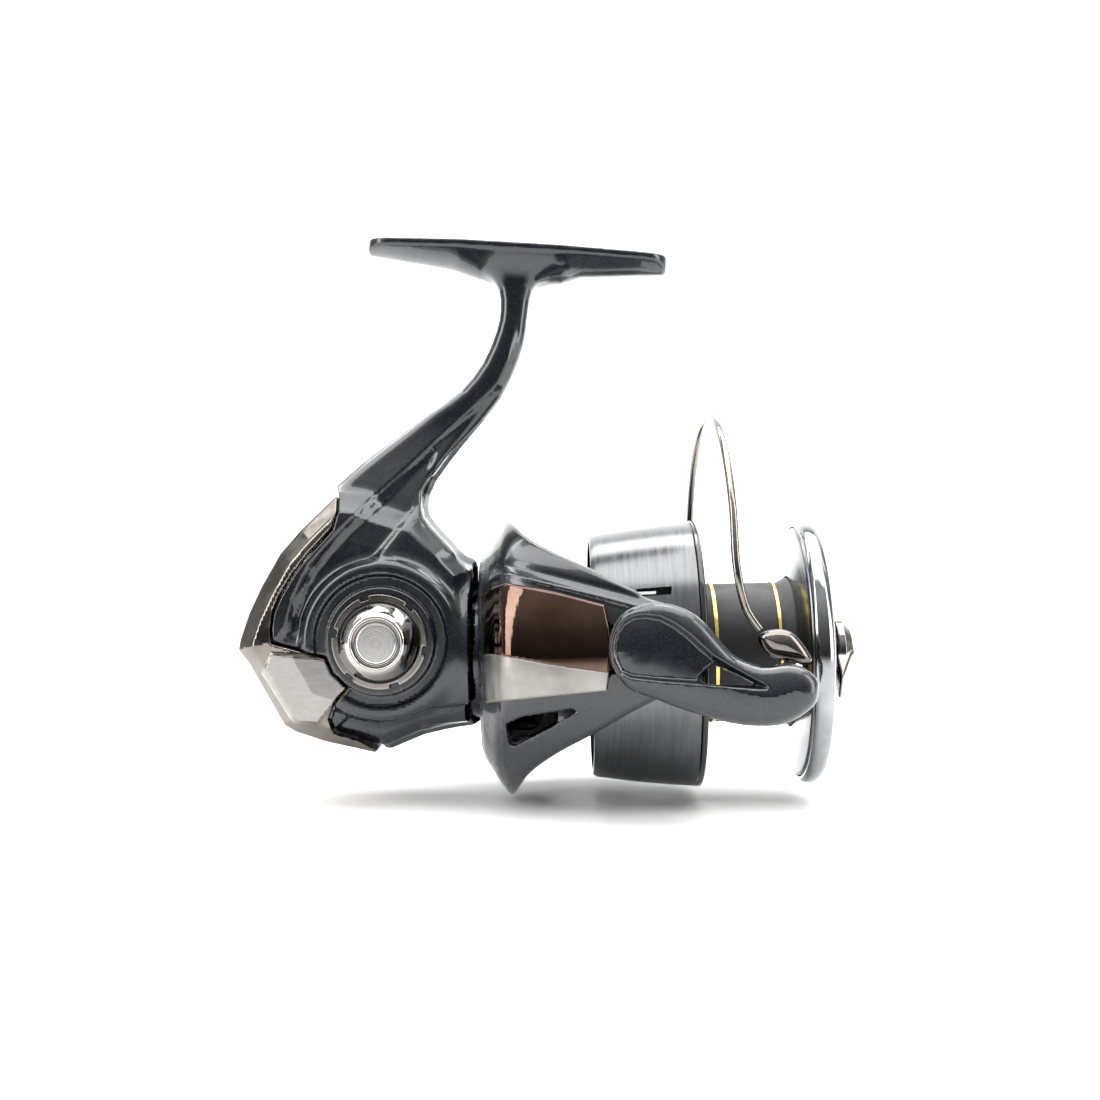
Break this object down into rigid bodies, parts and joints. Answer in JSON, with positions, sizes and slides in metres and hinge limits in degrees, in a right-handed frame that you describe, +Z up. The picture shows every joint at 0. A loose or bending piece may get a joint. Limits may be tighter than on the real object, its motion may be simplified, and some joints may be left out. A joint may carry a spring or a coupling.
{
  "type": "spinning reel",
  "caption": "Front-drag spinning fishing reel: hollow gear case on a stem and foot, geared rotor with folding bail and line roller, stroking spool, drag knob and cranked handle.",
  "frame": {"origin": "middle of the foot's top face, where the rod's reel seat clamps it", "axes": "+X forward along the main shaft towards the drag knob, +Z up from the gear case to the rod, +Y to the handle's side"},
  "size_m": [0.1237, 0.119, 0.115],
  "materials": {
    "body_paint": "glossy blue-black metallic paint",
    "cover_chrome": "dark satin chrome",
    "arm_chrome": "dark brown mirror chrome over satin silver",
    "bright_chrome": "polished",
    "spool_grey": "brushed dark grey anodised",
    "spool_black": "gloss black",
    "steel": "ground",
    "brass": "machined",
    "grip_rubber": "fine matt texture",
    "felt": "pressed felt",
    "seal": "moulded"
  },
  "bodies": {
    "housing": {"body_housing": "body_paint", "rear_cover": "cover_chrome", "bearing_ring": "bright_chrome", "handle_cap": "bright_chrome", "engine_plate": "body_paint", "drive_bearing_near": "steel", "drive_bearing_far": "steel", "pinion_bearing_rear": "steel", "pinion_bearing_front": "steel", "roller_clutch": "steel", "clutch_retainer": "seal", "guide_rod": "steel", "oscillation_post": "steel", "rear_cover_screw_1": "steel", "rear_cover_screw_2": "steel", "rear_cover_screw_3": "steel"},
    "crank": {"drive_gear": "brass", "drive_shaft": "steel", "oscillation_pinion": "brass", "handle_collar": "bright_chrome", "handle_arm": "body_paint", "handle_bolt": "steel", "knob_post": "steel"},
    "knob": {"knob_grip": "grip_rubber", "knob_end_cap": "bright_chrome"},
    "oscillator": {"oscillation_gear": "brass"},
    "spindle": {"main_shaft": "steel", "slider_block": "brass", "spool_seat": "steel", "drag_washer_keyed": "steel"},
    "spool": {"spool_body": "spool_grey", "spool_lip": "bright_chrome", "skirt_ring": "spool_black", "drag_washer_felt_1": "felt", "drag_washer_felt_2": "felt", "drag_washer_eared": "steel", "drag_retainer": "steel", "click_gear": "spool_black", "line_clip": "steel"},
    "drag_adjuster": {"drag_knob": "body_paint", "drag_knob_grip": "bright_chrome"},
    "rotor": {"rotor": "body_paint", "arm_cover_near": "arm_chrome", "arm_cover_far": "arm_chrome", "pinion_gear": "brass", "clutch_sleeve": "steel", "rotor_nut": "steel", "bail_spring": "steel", "spring_rod": "steel", "pivot_screw_near": "steel", "pivot_screw_far": "steel"},
    "bail": {"bail_arm_near": "body_paint", "bail_arm_far": "body_paint", "bail_wire": "steel", "roller_pin": "steel", "wire_block": "arm_chrome"},
    "roller": {"line_roller": "bright_chrome"}
  },
  "joints": [
    {"name": "rotor_spin", "type": "hinge", "parent": "housing", "child": "rotor", "pos_m": [0.0052, 0, -0.0838], "axis": [1, 0, 0], "continuous": true},
    {"name": "handle_crank", "type": "hinge", "parent": "housing", "child": "crank", "pos_m": [-0.0281, 0, -0.0792], "axis": [0, 1, 0], "continuous": true},
    {"name": "oscillation_gear_spin", "type": "hinge", "parent": "housing", "child": "oscillator", "pos_m": [-0.0386, 0, -0.0856], "axis": [0, 1, 0], "continuous": true},
    {"name": "spool_stroke", "type": "slide", "parent": "housing", "child": "spindle", "axis": [1, 0, 0], "range_m": [0, 0.012]},
    {"name": "spool_drag_spin", "type": "hinge", "parent": "spindle", "child": "spool", "pos_m": [0.0052, 0, -0.0838], "axis": [1, 0, 0], "continuous": true},
    {"name": "drag_knob_turn", "type": "hinge", "parent": "spindle", "child": "drag_adjuster", "pos_m": [0.0052, 0, -0.0838], "axis": [1, 0, 0], "range_deg": [-360, 360]},
    {"name": "bail_flip", "type": "hinge", "parent": "rotor", "child": "bail", "pos_m": [0.0242, 0, -0.0838], "axis": [0, -0.9954, 0.0958], "range_deg": [0, 68]},
    {"name": "line_roller_spin", "type": "hinge", "parent": "bail", "child": "roller", "pos_m": [0.0488, -0.03296, -0.08706], "axis": [0, 0.3665, 0.9304], "continuous": true},
    {"name": "handle_knob_spin", "type": "hinge", "parent": "crank", "child": "knob", "pos_m": [0.0269, 0, -0.0792], "axis": [0, 1, 0], "continuous": true}
  ],
  "couplings": [
    {"joint": "handle_crank", "follows": "rotor_spin", "ratio": -0.16129},
    {"joint": "oscillation_gear_spin", "follows": "rotor_spin", "ratio": 0.080645}
  ]
}
